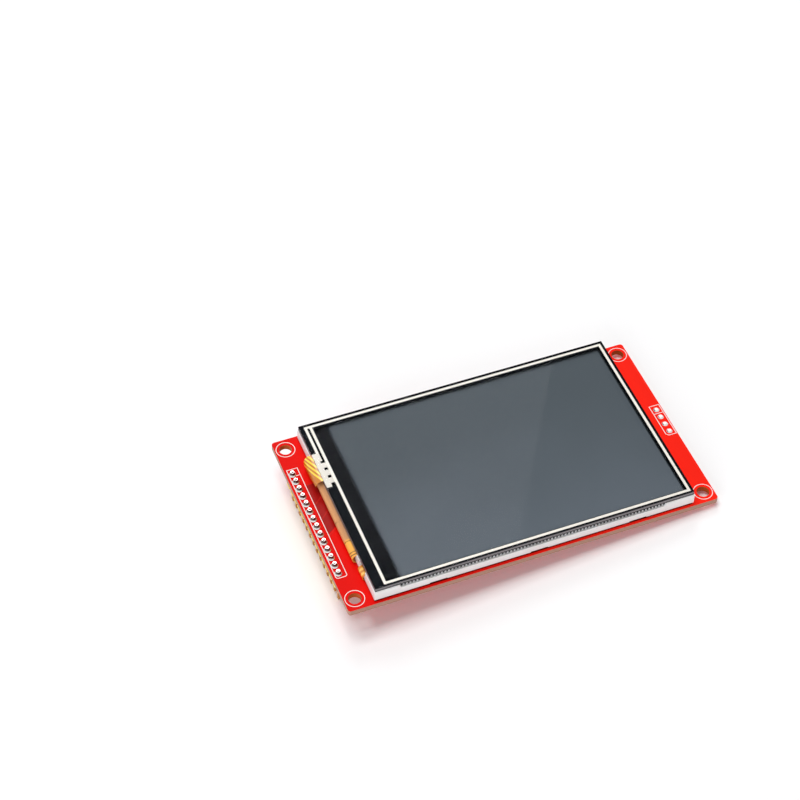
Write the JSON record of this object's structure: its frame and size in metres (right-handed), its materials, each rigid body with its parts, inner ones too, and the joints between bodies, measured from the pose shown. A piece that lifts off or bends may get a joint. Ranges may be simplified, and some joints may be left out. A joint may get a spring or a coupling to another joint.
{
  "type": "touch display module",
  "caption": "Flat rectangular circuit board that carries a colour display with a touch panel on its front and a pin header and a card socket on its back.",
  "frame": {"origin": "middle of the four mounting holes on the back face of the board", "axes": "+X along the board from the pin header to the card port holes, +Y across the board towards the card entry, +Z out of the board towards the touch panel"},
  "size_m": [0.098, 0.0564, 0.0147],
  "materials": {
    "board": "red solder mask over glass fibre",
    "header_plastic": "yellow moulded plastic",
    "pin_gold": "thin gold plating",
    "solder": "bright tin solder",
    "foam_tape": "double-sided foam tape",
    "white_plastic": "white moulded plastic, satin",
    "reflector": "white reflecting film",
    "clear_acrylic": "clear acrylic",
    "lamp": "white lamp with yellow face",
    "amber_strip": "amber polyimide strip",
    "diffuser": "milky film",
    "prism_film": "ribbed clear film",
    "polariser": "dark neutral film",
    "cell_glass": "thin display glass",
    "silicon": "ground silicon",
    "black_tape": "black tape",
    "brown_strip": "brown polyimide strip",
    "touch_glass": "clear flat glass",
    "black_ink": "black printed border",
    "silver_ink": "printed silver line",
    "clear_film": "clear hard-coated film",
    "socket_steel": "rolled sheet",
    "socket_plastic": "black moulded plastic",
    "contact_gold": "spring strip with thin gold",
    "resistor_black": "black glaze over ceramic",
    "capacitor_tan": "tan fired ceramic",
    "mould_black": "black moulding compound",
    "lead_tin": "tinned lead"
  },
  "bodies": {
    "root": {"circuit_board": "board", "header_housing": "header_plastic", "header_pins": "pin_gold", "header_solder": "solder", "port_solder": "solder", "mounting_tape": "foam_tape", "backlight_frame": "white_plastic", "reflector_sheet": "reflector", "light_guide": "clear_acrylic", "backlight_lamps": "lamp", "backlight_strip": "amber_strip", "diffuser_sheet": "diffuser", "prism_sheet_lower": "prism_film", "prism_sheet_upper": "prism_film", "rear_polariser": "polariser", "array_glass": "cell_glass", "driver_chip": "silicon", "filter_glass": "cell_glass", "light_shield": "black_tape", "front_polariser": "polariser", "display_tail": "brown_strip", "touch_bond_ring": "black_tape", "touch_glass": "touch_glass", "touch_spacer": "black_ink", "touch_lines": "silver_ink", "touch_tail": "amber_strip", "touch_film": "clear_film", "socket_shell": "socket_steel", "socket_body": "socket_plastic", "socket_contacts": "contact_gold", "resistor_bodies": "resistor_black", "capacitor_bodies": "capacitor_tan", "chip_ends": "solder", "transistor_bodies": "mould_black", "transistor_leads": "lead_tin"}
  },
  "joints": []
}
